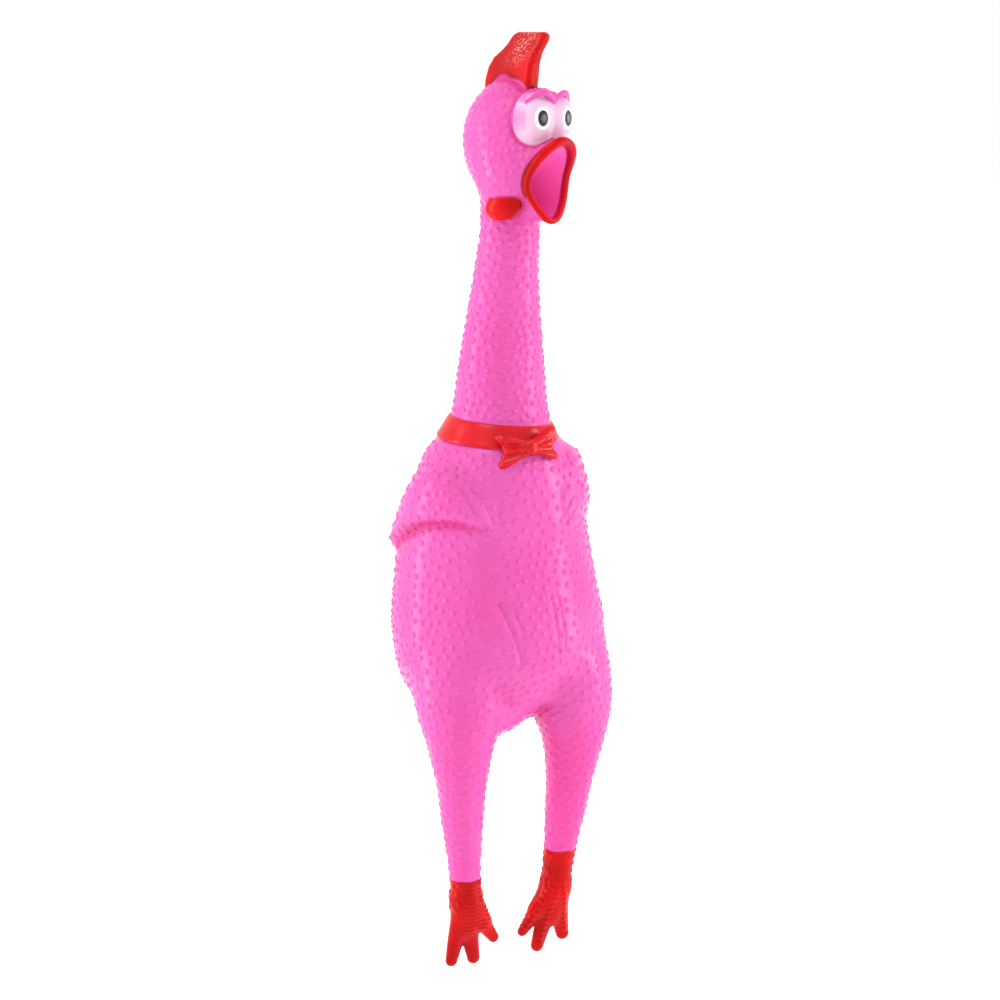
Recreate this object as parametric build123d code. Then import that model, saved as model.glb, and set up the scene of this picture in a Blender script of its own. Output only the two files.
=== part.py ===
from build123d import *
import os
from math import cos, radians, sin

# Rubber chicken: a hollow soft-vinyl novelty bird that screams when its body is squeezed.
# +Z runs up the body towards the comb, -Y is the way the breast faces, +X is the bird's left.
# The origin is in the middle of the body, where a hand holds it, below the neck's root.
# The vinyl skin is one moulding. It is cut here wherever it bends, and each bend is a ball on
# the moving skin in a cup on the skin that carries it. All sizes are in millimetres.

WALL = 2.0  # vinyl skin
GAP = 0.4  # between skins that move on each other
AIRWAY = 4.0  # radius of the air passage through each ball and cup
VAST = 400.0  # wider than the whole bird, for blocks that only cut
LEFT, RIGHT = 1, -1  # the bird's own sides, as the sign of X

# Body, from the neck's root down: height, half width, half depth, shift to the back
TORSO = [
    (66, 24.0, 24.0, 0.0),
    (58, 28.0, 27.5, 0.5),
    (46, 33.0, 30.5, 2.5),
    (30, 37.5, 33.5, 4.0),
    (8, 41.5, 36.5, 4.5),
    (-14, 45.0, 38.5, 3.5),
    (-32, 45.0, 38.0, 1.0),
    (-48, 39.0, 33.0, -0.5),
    (-62, 22.0, 20.0, 2.0),
]
NECK_SEAT = 20.0  # inside radius where the neck's root stands on the body
TORSO_REACH = 60.0  # clear of the body's side

# Neck, from the root up: height, radius, shift to the front
ROOT_Z = 66
NECK = [
    (ROOT_Z, 22.0, 0.0),
    (72, 21.0, 0.0),
    (90, 18.6, 1.2),
    (104, 16.7, 2.6),
    (121, 14.6, 4.5),
    (137, 13.2, 6.9),
    (150, 12.5, 9.7),
]
BEND_Z, BEND_R, BEND_DEG = 90, 18.6, 40
SWAY_Z, SWAY_R, SWAY_DEG = 118, 15.0, 35
TURN_Z = 134
NOD_Z, NOD_R, NOD_DEG = 150, 12.5, 35

# Head, in its own frame: its origin is on the neck's top axis and -Y is the way the face looks
HEAD_TURN = 14  # the face looks this many degrees to the bird's left
HEAD_FORWARD = 9.7
SKULL_Z, SKULL = 186.5, (19.5, 22.5, 25.5)
SKULL_FORWARD = 2.5
MOUTH_Z, MOUTH_Y, MOUTH_TILT = 169.0, -28.0, 12  # the top of the mouth leans forward
MOUTH_W, MOUTH_H = 8.3, 14.0  # half sizes of the opening
LIP_OUT = 0.5  # the lip's foremost edge is this far out of the mouth's plane
LINING = 1.6  # thickness of the mouth's lining
THROAT_R = 6.0  # radius where the mouth's lining meets the squeaker
RIM = 3.4  # width of the beak's lip round the opening
RIM_DEPTH = 7.0
RIM_FILLET = 1.2
JAW_BACK_Y, JAW_BACK = -3.0, (14.0, 18.0)  # where the jaw starts in the skull, and its half sizes
JAW_INSET = 0.6  # the jaw's front edge stays this far inside the lip's outline
STUB_R, STUB_H = 15.0, 20.0  # the neck's end inside the head
EYE_X, EYE_Y, EYE_Z = 6.0, -20.8, 195.5
EYE = (9.4, 9.4, 9.6)
PUPIL = (2.5, 3.4)  # half width and half height
PUPIL_IN = 1.3  # the pupils look this far inwards from the middles of the eyes
PUPIL_RISE = 0.35
WATTLE_POS, WATTLE = (13.5, -11.5, 160.0), (4.0, 8.0, 5.8)
COMB_HALF = 2.75  # half thickness
COMB_AXIS_Z = 215.2
COMB_DEG = 30
COMB_ROOT_DEPTH = 24.0  # down into the skull
# The comb's side view: distance to the back, height
COMB = [
    (-16.5, COMB_AXIS_Z),
    (-17.5, 221),
    (-22.5, 227.5),
    (-21, 229.6),
    (-5, 229.6),
    (2, 224.5),
    (9, 220),
    (13, COMB_AXIS_Z),
]

# Squeaker, along the head's Y at the back of the mouth
SQUEAK_Z = 172.0
SQUEAK_R, SQUEAK_LEN, SQUEAK_WALL = 7.5, 16.0, 1.2
FLANGE_R, FLANGE = 9.0, 1.5
BOARD_TOP = -0.8  # height of the tone board's flat face from the tube's axis
BOARD_LEAD, BOARD_TRAIL = 0.5, 1.0  # past the reed's free end, and short of the tube's back
SLOT_WIDTH, SLOT_DEPTH = 3.0, 3.0  # the air channel under the reed
REED = (5.5, 0.3)  # width and thickness
REED_LIFT = 0.3  # the reed stands this far off the board
REED_FREE_Y, REED_ROOT_Y = -6.0, 2.0
REED_CUT = 0.2  # between the part that buzzes and the part in the clamp
CLAMP_HEIGHT, CLAMP_SHORT = 0.9, 1.5  # the clamped part's height, and how far it stops short
CAP, CAP_HOLE = 1.2, 3.0  # thickness of the cap, and radius of its hole

# Legs: height, radius, distance from the middle, shift to the front
LEG = [
    (-58, 15.5, 27.0, 18.5),
    (-66, 14.0, 26.6, 18.0),
    (-83, 10.4, 25.6, 16.8),
    (-100, 8.8, 24.4, 14.8),
    (-116, 7.4, 23.0, 13.1),
    (-130, 6.6, 22.0, 11.8),
]
HIP_Z, HIP_R = -58.0, 15.5
HIP_FORWARD_DEG, HIP_BACK_DEG = 60, 35
KNEE_Z, KNEE_R, KNEE_DEG = -95.0, 9.2, 30
ANKLE_Z = {RIGHT: -127.0, LEFT: -122.0}
ANKLE_R, ANKLE_DEG = 6.8, 35
TOE_R = 3.0
INSTEP_OUT, INSTEP_DROP = 20.5, 14.0  # where the toes part: from the middle, below the ankle
INSTEP_R = 4.5
# Each toe's tip: distance from the middle, height
TOES = {"outer": (27.5, -161.5), "middle": (16.6, -165.0), "inner": (8.2, -155.5)}
TOE_Y = -9.0

# The collar's section, round from its outer top edge: distance from the neck's axis, height
COLLAR = [(22.6, 5.0), (24.4, 5.2), (29.8, -3.8), (28.8, -5.2), (25.4, -2.0), (22.2, 2.0)]
COLLAR_TILT = 2.5  # the front hangs lower
BOW_Y, BOW_Z = -28.5, 61.0
BOW_HALF, BOW_HEIGHT, BOW_THICK = 14.0, 12.5, 3.6
BOW_WAIST = 0.44  # height of a loop at the knot, as a part of its height at the tip
BOW_FILLET = 1.6
KNOT = (5.6, 4.8, 6.8)
KNOT_OUT, KNOT_FILLET = 0.6, 1.2  # how far the knot stands out in front of the loops
WING_POS, WING = (36.0, 3.0, 34.0), (11.0, 27.0, 18.0)
WING_DEG = 18
TAIL_POS, TAIL = (0.0, 35.0, -44.0), (9.0, 13.0, 8.0)

# The part of the breast that gives when the body is squeezed
PRESS_Z, PRESS = -6.0, (24.0, 30.0)


def ellipsoid(radii, at=(0, 0, 0)):
    return Pos(*at) * scale(Sphere(1), by=tuple(radii))


def body_loft(sections, shrink=0.0):
    """A smooth solid through level ellipses of height, half width, half depth, shift to the back."""
    return loft([Pos(0, y, z) * Ellipse(a - shrink, b - shrink) for z, a, b, y in sections])


def interpolate(sections, z):
    """The sizes of a list of sections at a height between two of them."""
    ordered = sorted(sections)
    for low, high in zip(ordered, ordered[1:]):
        if low[0] <= z <= high[0]:
            t = (z - low[0]) / (high[0] - low[0])
            return tuple(p + (q - p) * t for p, q in zip(low[1:], high[1:]))
    raise ValueError(f"no section reaches height {z}")


def span(sections, low, high):
    """The sections between two heights, with one at each of those heights."""
    inside = [s for s in sections if low + 1 < s[0] < high - 1]
    ends = [(z, *interpolate(sections, z)) for z in (low, high)]
    return sorted(inside + ends)


def below(z):
    return Pos(0, 0, z - VAST / 2) * Box(VAST, VAST, VAST)


def rim_drop(radius, degrees):
    """How far a cup's rim stays from the ball's centre so that the skin can tilt that much."""
    return radius * sin(radians(degrees)) + GAP


def airway(centre, reach):
    return Pos(*centre) * Cylinder(AIRWAY, 2 * reach)


class Tube:
    """A hollow tapered skin, built as an outer and an inner solid."""

    def __init__(self, centres, sections):
        # centres gives the (x, y) of the tube's middle for each section
        profiles = list(zip(centres, sections))
        self.outer = loft([Pos(x, y, s[0]) * Circle(s[1]) for (x, y), s in profiles])
        self.inner = loft([Pos(x, y, s[0]) * Circle(s[1] - WALL) for (x, y), s in profiles])
        self.holes = []

    def add_ball(self, centre, radius):
        self.outer += Pos(*centre) * Sphere(radius)
        self.inner += Pos(*centre) * Sphere(radius - WALL)
        self.holes.append(airway(centre, radius + 1))

    def add_cup(self, centre, radius, rim_z):
        self.outer -= Pos(*centre) * Sphere(radius + GAP)
        self.inner -= Pos(*centre) * Sphere(radius + GAP + WALL)
        self.inner -= Pos(0, 0, rim_z) * Box(VAST, VAST, 2 * WALL)
        self.holes.append(airway(centre, radius + WALL + 1))

    def skin(self):
        made = self.outer - self.inner
        for hole in self.holes:
            made -= hole
        return made


def neck_point(z):
    """A point on the neck's axis."""
    _, forward = interpolate(NECK, z)
    return (0, -forward, z)


def neck_tube(low, high):
    sections = span(NECK, low, high)
    return Tube([(0, -s[2]) for s in sections], sections)


def neck_skins():
    """The neck from its root to under the head, cut at the bend, the sway and the turn."""
    bend_rim = BEND_Z - rim_drop(BEND_R, BEND_DEG)
    sway_rim = SWAY_Z - rim_drop(SWAY_R, SWAY_DEG)
    nod_rim = NOD_Z - rim_drop(NOD_R, NOD_DEG)
    root = neck_tube(ROOT_Z, bend_rim)
    root.add_cup(neck_point(BEND_Z), BEND_R, bend_rim)
    lower = neck_tube(BEND_Z, sway_rim)
    lower.add_ball(neck_point(BEND_Z), BEND_R)
    lower.add_cup(neck_point(SWAY_Z), SWAY_R, sway_rim)
    middle = neck_tube(SWAY_Z, TURN_Z - GAP / 2)
    middle.add_ball(neck_point(SWAY_Z), SWAY_R)
    top = neck_tube(TURN_Z + GAP / 2, nod_rim)
    top.add_cup(neck_point(NOD_Z), NOD_R, nod_rim)
    return {
        "neck_root_skin": root.skin(),
        "neck_lower_skin": lower.skin(),
        "neck_middle_skin": middle.skin(),
        "neck_top_skin": top.skin(),
    }


def leg_swing(side):
    """All the room that a thigh takes as it swings from back to front, open to the body's side."""
    wide, reach = HIP_R + GAP, 3 * HIP_R
    slab = Pos(0, -reach / 2) * Rectangle(2 * wide, reach)
    ends = [Vector(0, -reach).rotate(Axis.Z, -d) for d in (-HIP_BACK_DEG, 0, HIP_FORWARD_DEG)]
    fan = Polygon((0, 0), *[(v.X, v.Y) for v in ends], align=None)
    profile = Circle(wide) + fan + Rot(0, 0, HIP_BACK_DEG) * slab + Rot(0, 0, -HIP_FORWARD_DEG) * slab
    # the profile's X becomes the body's Y, and its Y becomes the body's Z
    inner, outer = LEG[0][2] - wide, TORSO_REACH
    prism = extrude(Plane.YZ * profile, outer - inner)
    return Pos(inner if side == LEFT else -outer, -LEG[0][3], HIP_Z) * prism


def torso_outer():
    return body_loft(TORSO)


def torso_inner():
    top, bottom = TORSO[0], TORSO[-1]
    lifted = (bottom[0] + WALL, bottom[1], bottom[2], bottom[3])
    seat = (top[0], NECK_SEAT + WALL, NECK_SEAT + WALL, top[3])
    return body_loft([seat, *TORSO[1:-1], lifted], WALL)


def press_outline(grow=0.0):
    """A prism through the breast, as wide and as high as the part that gives."""
    outline = Ellipse(PRESS[0] + grow, PRESS[1] + grow)
    return Pos(0, 0, PRESS_Z) * extrude(Plane.XZ * outline, 80)


def torso_skins():
    """The body's skin, with the hips' sockets, and the part of the breast that gives."""
    skin = torso_outer() - torso_inner()
    for side in (LEFT, RIGHT):
        skin -= leg_swing(side)
    panel = skin & press_outline()
    return {"torso_skin": skin - press_outline(GAP), "chest_panel": panel}


def leg_tube(side, low, high):
    sections = span(LEG, low, high)
    return Tube([(side * s[2], -s[3]) for s in sections], sections)


def leg_point(side, z):
    _, out, forward = interpolate(LEG, z)
    return (side * out, -forward, z)


def capsule(start, end, radius):
    """A round bar with round ends between two points."""
    run = Vector(*end) - Vector(*start)
    upright = Cylinder(radius, run.length, align=(Align.CENTER, Align.CENTER, Align.MIN))
    bar = Plane(origin=start, z_dir=run) * upright
    return bar + Pos(*start) * Sphere(radius) + Pos(*end) * Sphere(radius)


def foot(side):
    """A flat foot with three toes, on a ball that turns in the ankle."""
    ankle = leg_point(side, ANKLE_Z[side])
    instep = (side * INSTEP_OUT, (ankle[1] + TOE_Y) / 2, ankle[2] - INSTEP_DROP)
    made = Pos(*ankle) * Sphere(ANKLE_R)
    made += capsule((ankle[0], ankle[1], ankle[2] - 3), instep, INSTEP_R)
    for out, z in TOES.values():
        made += capsule(instep, (side * out, TOE_Y, z), TOE_R)
    return made


def leg_skins(side, name):
    """A thigh, a shank and a foot, joined by a knee that bends sideways and an ankle."""
    hip = leg_point(side, HIP_Z)
    knee = leg_point(side, KNEE_Z)
    ankle = leg_point(side, ANKLE_Z[side])
    knee_rim = KNEE_Z + rim_drop(KNEE_R, KNEE_DEG)
    ankle_rim = ankle[2] + rim_drop(ANKLE_R, ANKLE_DEG)
    thigh = leg_tube(side, knee_rim, HIP_Z)
    thigh.add_ball(hip, HIP_R)
    thigh.add_cup(knee, KNEE_R, knee_rim)
    shank = leg_tube(side, ankle_rim, KNEE_Z)
    shank.add_ball(knee, KNEE_R)
    shank.add_cup(ankle, ANKLE_R, ankle_rim)
    return {
        f"thigh_{name}": thigh.skin(),
        f"shank_{name}": shank.skin(),
        f"foot_{name}": foot(side),
    }


def collar():
    """A flared band round the neck's root, over the shoulders."""
    profile = Plane.XZ * Polygon(*COLLAR, align=None)
    band = Pos(0, 0, ROOT_Z) * Rot(COLLAR_TILT, 0, 0) * revolve(profile, Axis.Z)
    solid_neck = neck_tube(ROOT_Z, ROOT_Z + 14).outer
    return band - torso_outer() - solid_neck


def bow():
    """A knot and two loops that widen outwards, on the front of the collar."""
    knot = fillet(Box(*KNOT).edges(), KNOT_FILLET)
    parts = {"bow_knot": Pos(0, BOW_Y - KNOT_OUT, BOW_Z) * knot}
    tip_z, root_z = BOW_HEIGHT / 2, BOW_HEIGHT * BOW_WAIST / 2
    for side, name in ((LEFT, "left"), (RIGHT, "right")):
        root, tip = side * KNOT[0] / 2, side * BOW_HALF
        corners = [(root, root_z), (tip, tip_z), (tip, -tip_z), (root, -root_z)]
        loop = extrude(Plane.XZ * Polygon(*corners, align=None), BOW_THICK / 2, both=True)
        across = loop.edges().filter_by(Axis.Y).group_by(Axis.X)
        loop = fillet(across[-1 if side == LEFT else 0], BOW_FILLET)
        parts[f"bow_loop_{name}"] = Pos(0, BOW_Y, BOW_Z) * loop
    band = collar()
    return {name: piece - band - torso_outer() for name, piece in parts.items()}


def wing(side):
    x, y, z = WING_POS
    shape = Pos(side * x, y, z) * Rot(-WING_DEG, 0, 0) * ellipsoid(WING)
    return shape - torso_outer()


def tail():
    return ellipsoid(TAIL, TAIL_POS) - torso_outer()


def place_head(piece):
    """From the head's own frame to the body's frame."""
    return Pos(0, -HEAD_FORWARD, 0) * Rot(0, 0, HEAD_TURN) * piece


def mouth_plane(shift=0.0):
    """The plane of the beak's lip, whose normal points out of the mouth."""
    tilt = radians(MOUTH_TILT)
    normal = Vector(0, -cos(tilt), -sin(tilt))
    return Plane(origin=Vector(0, MOUTH_Y, MOUTH_Z) + normal * shift, x_dir=(1, 0, 0), z_dir=normal)


def muzzle(shrink=0.0):
    """The jaw and cheeks, from the middle of the skull to the back of the beak's lip."""
    back = Plane(origin=(0, JAW_BACK_Y, MOUTH_Z + 2), x_dir=(1, 0, 0), z_dir=(0, -1, 0))
    front = mouth_plane(LIP_OUT - RIM_DEPTH)
    near = Ellipse(JAW_BACK[0] - shrink, JAW_BACK[1] - shrink)
    edge = RIM - JAW_INSET - shrink
    far = Ellipse(MOUTH_W + edge, MOUTH_H + edge)
    return loft([back * near, front * far])


def head_outer(shrink=0.0):
    skull = ellipsoid([r - shrink for r in SKULL], (0, -SKULL_FORWARD, SKULL_Z))
    stub = Pos(0, 0, NOD_Z) * Cone(
        NOD_R - shrink, STUB_R - shrink, STUB_H, align=(Align.CENTER, Align.CENTER, Align.MIN)
    )
    ball = Pos(0, 0, NOD_Z) * Sphere(NOD_R - shrink)
    return skull + stub + ball + muzzle(shrink)


def funnel(grow=0.0):
    """The room inside the mouth, narrowing to the squeaker."""
    throat = Plane(origin=(0, -SQUEAK_LEN / 2 - FLANGE, SQUEAK_Z), x_dir=(1, 0, 0), z_dir=(0, -1, 0))
    lip = mouth_plane(LIP_OUT + 0.1)
    return loft([throat * Circle(THROAT_R + grow), lip * Ellipse(MOUTH_W + grow, MOUTH_H + grow)])


def beak_rim():
    ring = Ellipse(MOUTH_W + RIM, MOUTH_H + RIM)
    band = extrude(mouth_plane(LIP_OUT - RIM_DEPTH) * ring, RIM_DEPTH - LIP_OUT)
    band = fillet(band.faces().sort_by(Axis.Y)[0].edges(), RIM_FILLET)
    return band - funnel(LINING) - head_outer()


def left_face_pieces():
    """The bird's left eye, pupil and wattle."""
    centre = (EYE_X, EYE_Y, EYE_Z)
    half = Pos(50, 0, EYE_Z) * Box(100, 100, 60)
    ball = ellipsoid(EYE, centre)
    raised = ellipsoid([r + PUPIL_RISE for r in EYE], centre)
    bar = Pos(EYE_X - PUPIL_IN, EYE_Y - 10, EYE_Z) * extrude(Plane.XZ * Ellipse(*PUPIL), 8, both=True)
    flesh = head_outer() + beak_rim()
    return {
        "eye": (ball & half) - flesh,
        "pupil": (raised & bar) - ball,
        "wattle": ellipsoid(WATTLE, WATTLE_POS) - flesh,
    }


def face_pieces():
    """Both sides' eyes, pupils and wattles."""
    made = {}
    for name, piece in left_face_pieces().items():
        made[f"{name}_left"] = piece
        made[f"{name}_right"] = mirror(piece, Plane.YZ)
    return made


def comb_pieces():
    """A fin that flops sideways, and its root on the skull."""
    axis = Pos(0, 0, COMB_AXIS_Z) * Rot(90, 0, 0)
    fin = extrude(Plane.YZ * Polygon(*COMB, align=None), COMB_HALF, both=True)
    front, back = COMB[0][0], COMB[-1][0]
    middle, length = (front + back) / 2, back - front
    fin += Pos(0, middle, 0) * axis * Cylinder(COMB_HALF, length)
    down = COMB_AXIS_Z - COMB_ROOT_DEPTH / 2
    block = Pos(0, middle, down) * Box(2 * COMB_HALF, length, COMB_ROOT_DEPTH)
    root = block & below(COMB_AXIS_Z - rim_drop(COMB_HALF, COMB_DEG))
    root -= Pos(0, middle, 0) * axis * Cylinder(COMB_HALF + GAP, 2 * length)
    return {"comb": fin, "comb_root": root - head_outer()}


def along_y(radius, start, end):
    """A round bar along the squeaker's axis."""
    middle = (start + end) / 2
    return Pos(0, middle, SQUEAK_Z) * Rot(90, 0, 0) * Cylinder(radius, end - start)


def slab(width, start, end, low, high):
    """A block on the squeaker's axis, between two heights from that axis."""
    return Pos(0, (start + end) / 2, SQUEAK_Z + (low + high) / 2) * Box(width, end - start, high - low)


def squeaker_pieces():
    """A flanged tube with a tone board, a reed held by a wedge, and a cap with a hole."""
    front, back = -SQUEAK_LEN / 2, SQUEAK_LEN / 2
    bore = SQUEAK_R - SQUEAK_WALL
    width, board_end = 3 * bore, back - BOARD_TRAIL
    tube = along_y(SQUEAK_R, front, back) + along_y(FLANGE_R, front - FLANGE, front)
    tube -= along_y(bore, front - FLANGE, back)
    lower_half = slab(width, front, back, -width, BOARD_TOP)
    upper_half = slab(width, front, back, BOARD_TOP, width)
    board = along_y(bore, REED_FREE_Y - BOARD_LEAD, board_end) & lower_half
    board -= slab(SLOT_WIDTH, -SQUEAK_LEN, REED_ROOT_Y - 1, BOARD_TOP - SLOT_DEPTH, BOARD_TOP + 1)
    reed_low = BOARD_TOP + REED_LIFT
    reed_end = REED_ROOT_Y - REED_CUT
    clamped = slab(REED[0], REED_ROOT_Y, back - CLAMP_SHORT, BOARD_TOP, BOARD_TOP + CLAMP_HEIGHT)
    wedge = along_y(bore, REED_ROOT_Y, board_end) & upper_half
    cap = along_y(SQUEAK_R, back, back + CAP) - along_y(CAP_HOLE, back - 1, back + CAP + 1)
    return {
        "squeaker_tube": tube,
        "tone_board": board,
        "reed": slab(REED[0], REED_FREE_Y, reed_end, reed_low, reed_low + REED[1]),
        "reed_tail": clamped,
        "reed_wedge": wedge - clamped,
        "squeaker_cap": cap,
    }


def head_pieces():
    pieces = {
        "head_skin": head_outer() - head_outer(WALL) - funnel(LINING),
        "mouth_funnel": funnel(LINING) - funnel(),
        "beak_rim": beak_rim(),
        **face_pieces(),
        **comb_pieces(),
        **squeaker_pieces(),
    }
    pieces["head_skin"] -= airway((0, 0, NOD_Z - NOD_R), 4)
    return {name: place_head(piece) for name, piece in pieces.items()}


def main():
    nodes = {
        **torso_skins(),
        **neck_skins(),
        **leg_skins(LEFT, "left"),
        **leg_skins(RIGHT, "right"),
        "collar": collar(),
        **bow(),
        "wing_left": wing(LEFT),
        "wing_right": wing(RIGHT),
        "tail": tail(),
        **head_pieces(),
    }
    os.makedirs("parts", exist_ok=True)
    for name, shape in nodes.items():
        export_step(shape, f"parts/{name}.step")


main()
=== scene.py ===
import math

import bpy
import numpy as np
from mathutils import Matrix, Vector, kdtree


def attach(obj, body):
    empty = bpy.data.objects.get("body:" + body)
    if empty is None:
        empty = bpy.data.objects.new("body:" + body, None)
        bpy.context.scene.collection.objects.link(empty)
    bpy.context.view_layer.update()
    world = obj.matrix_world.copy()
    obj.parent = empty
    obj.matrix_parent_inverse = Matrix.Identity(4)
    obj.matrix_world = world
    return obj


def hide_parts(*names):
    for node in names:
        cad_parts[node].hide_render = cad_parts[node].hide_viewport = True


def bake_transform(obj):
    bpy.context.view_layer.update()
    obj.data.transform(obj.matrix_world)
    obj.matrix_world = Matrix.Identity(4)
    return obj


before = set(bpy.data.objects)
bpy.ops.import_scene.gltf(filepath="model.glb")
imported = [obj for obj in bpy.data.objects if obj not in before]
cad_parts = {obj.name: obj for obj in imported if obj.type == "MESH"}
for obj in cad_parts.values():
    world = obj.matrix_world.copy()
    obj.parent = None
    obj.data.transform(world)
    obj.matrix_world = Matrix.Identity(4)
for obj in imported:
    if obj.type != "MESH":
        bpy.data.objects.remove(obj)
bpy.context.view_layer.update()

# Shapes are worked out in millimetres in the frame's axes: +X the bird's left, -Y the way its
# breast faces, +Z up. The head's own axes have their origin on the neck's top and are turned.
MM = 0.001
SIDES = (("left", 1), ("right", -1))
HIP_PIVOT = (27.0, -18.5, -58.0)  # where the left leg swings

# -------- shape of the vinyl skin

HEAD_TURN = math.radians(14)
HEAD_AXIS_Y = -9.7

# Body and neck: height, half width, reach to the front, reach to the back
COLUMN = [
    (-34, 44.0, 36.5, 40.0), (-14, 45.9, 36.5, 43.5), (0, 44.3, 33.5, 43.8),
    (14, 42.3, 30.5, 43.0), (34, 37.3, 32.0, 38.5), (46, 34.6, 30.8, 35.6),
    (58, 29.6, 27.0, 30.4), (66, 22.6, 22.6, 22.8), (72, 20.7, 20.7, 20.7),
    (90, 18.3, 19.4, 17.2), (104, 16.6, 19.0, 14.2), (121, 14.5, 19.0, 10.0),
    (137, 12.9, 19.8, 6.0), (150, 12.2, 21.9, 2.5), (160, 12.2, 22.2, 2.2),
    (178, 12.0, 21.0, 3.0),
]
BELLY = ((0, 0.5, -21), (45.0, 38.5, 38.5))
RUMP = ((0, 5, -37), (41.5, 33.0, 23.5))
GROIN = ((-8, -7, -50), (15, 20, 14.5))  # the skin hangs lower beside the right thigh
HIP = ((25.8, -13, -41), (18.3, 20.0, 25.0))
# Legs: height, radius, distance from the middle, shift to the front
LEG = [
    (-36, 11.0, 24.5, 14.0), (-46, 15.2, 25.6, 16.4), (-58, 15.3, 26.5, 18.0),
    (-68, 13.4, 26.6, 17.8), (-84, 10.4, 25.7, 16.7), (-101, 8.8, 24.5, 14.7),
    (-118, 7.1, 23.0, 13.0), (-130, 6.4, 22.0, 11.8), (-138, 5.9, 21.5, 11.0),
    (-150, 3.0, 20.5, 10.0),
]
PAINT_Z = {1: -118.6, -1: -126.0}  # the feet are painted below here
# Each toe: distance from the middle, height, radius at its tip
TOES = {
    1: [(26.2, -160.0, 3.0), (13.8, -163.8, 2.9), (6.6, -156.2, 2.3)],
    -1: [(27.4, -164.0, 2.7), (17.0, -164.2, 2.9), (7.4, -156.6, 2.4)],
}
WEBS = {
    1: [(20.2, -151.0, 4.4), (13.0, -146.5, 4.0)],
    -1: [(22.2, -151.5, 4.0), (13.4, -147.5, 4.0)],
}
HUB_OUT, HUB_FRONT, HUB_Z, HUB_RADIUS = 21.6, 11.2, -137.0, 5.6  # where the toes meet
TOE_FRONT = 9.0
TOE_DROP = 22  # how far below the hub the toes are at their flattest
TOE_FLATTEN = 1.25
FOOT_TOP = HUB_Z + 18
TAIL = ((0, 36, -44), (9.0, 12.0, 8.0))
LEGS_BELOW, HEAD_ABOVE, FACE_ABOVE = -8, 140, 148  # heights
NOTCH = ((2, 8), (-46, -54))  # the crease by the left thigh: across, down

# Wings in relief, on the body unrolled. Degrees round from the breast: height of the lower edge,
# height where the top has faded away, how long it takes to fade, and how far it stands out
WINGS = {
    1: [
        (24, 28.0, 50, 14, 0.0), (36, 27.0, 54, 11, 2.2),
        (47, 26.5, 59, 7, 2.5), (61, 26.0, 61, 5.5, 2.5),
        (81, 23.0, 60, 9, 4.2), (95, 17.9, 58, 22, 5.8),
        (106, 12.2, 55, 30, 5.4), (114, 11.0, 50, 30, 0.0),
    ],
    -1: [
        (24, 24.8, 46, 16, 0.0), (36, 26.4, 48, 16, 3.8),
        (47, 27.9, 52, 14, 5.0), (61, 27.7, 57, 11, 6.2),
        (81, 24.2, 58, 14, 6.4), (95, 17.9, 59, 24, 5.6),
        (106, 12.2, 57, 28, 4.4), (118, 11.0, 54, 30, 0.0),
    ],
}
WING_LEDGE = {1: 12.0, -1: 7.5}
WING_SPAN = (6, 63)  # heights with wings between them

# Head, in its own axes
SKULL = ((0, -1.0, 186.5), (19.3, 20.5, 25.0))
CHEEK = ((8.5, -8.0, 174.5), (10.5, 13.0, 15.0))
# The mouth's lip: height and how far forward it stands
LIP_FORWARD = [
    (150, 27.0), (156, 26.6), (161.5, 24.8), (166.5, 23.4), (172, 24.0),
    (177.5, 27.4), (182.5, 31.2), (185.5, 32.9), (190, 33.4),
]
LIP = (10.1, 15.9, 170.6)  # half width, half height, middle height
LIP_RADIUS = 1.4
UPPER_LIP = (172, 184)  # over these heights the lip thickens
UPPER_LIP_EXTRA = 0.5
JAW_NARROWS = 0.22  # how much narrower the lip is at its foot than an oval
JAW = (168, 154)  # over these heights
THROAT = (1.9, 4.6, 163.5)
THROAT_FORWARD = 9.5
THROAT_PAINT = ((9, 23), (176, 166))  # reaches its full colour over these depths, heights
MOUTH_END = -THROAT_FORWARD + 2  # the lining is in front of this
FUNNEL_FLARE = 0.8  # under one, the funnel narrows fast behind the lip
FUNNEL_EDGE = (LIP[0] - 0.6, LIP[1] - 0.6, LIP[2])
MUZZLE_EDGE = (LIP[0] - 0.3, LIP[1] - 0.2, LIP[2])
MUZZLE_BACK = (15.5, 18.0, 171.5)
MUZZLE_LENGTH = 20
MUZZLE_END = 2  # how far in front of the head's axis it ends
EYE = ((4.8, -21.0, 195.4), (8.3, 8.6, 10.6))
FOREHEAD = ((0, -18.8, 197.2), (9.5, 9.2, 10.4))
PUPIL = (6.6, 195.6, 2.4, 3.4)  # distance from the middle, height, half width, half height
BROW = [
    (0, -27.4, 202.6), (2.4, -28.2, 204.4), (5.2, -28.0, 205.6),
    (8.6, -26.0, 204.6), (11.2, -23.6, 202.0),
]
BROW_RADIUS = 1.25
BROW_TIP = (6.5, 11.5, 0.4)  # thins between these distances, to this share
COMB = [
    (13.6, 204), (13.2, 211), (11.2, 216.4), (8.0, 220.4), (3.4, 223.0),
    (0.2, 225.2), (-3.8, 229.0), (-6.6, 230.0), (-21.8, 229.6), (-23.6, 228.2),
    (-22.6, 225.8), (-18.4, 221.2), (-16.2, 216.8), (-15.2, 211), (-14.0, 204),
]
COMB_HALF = (3.3, 2.3)  # half thickness at its base and at its top
COMB_TAPER = (211, 229)
COMB_EDGE = 1.7
WATTLE = ((12.6, -11.2, 160.4), (3.9, 8.5, 5.6))
WATTLE_TILT = math.radians(14)
WATTLE_TOE_IN = math.radians(20)

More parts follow.
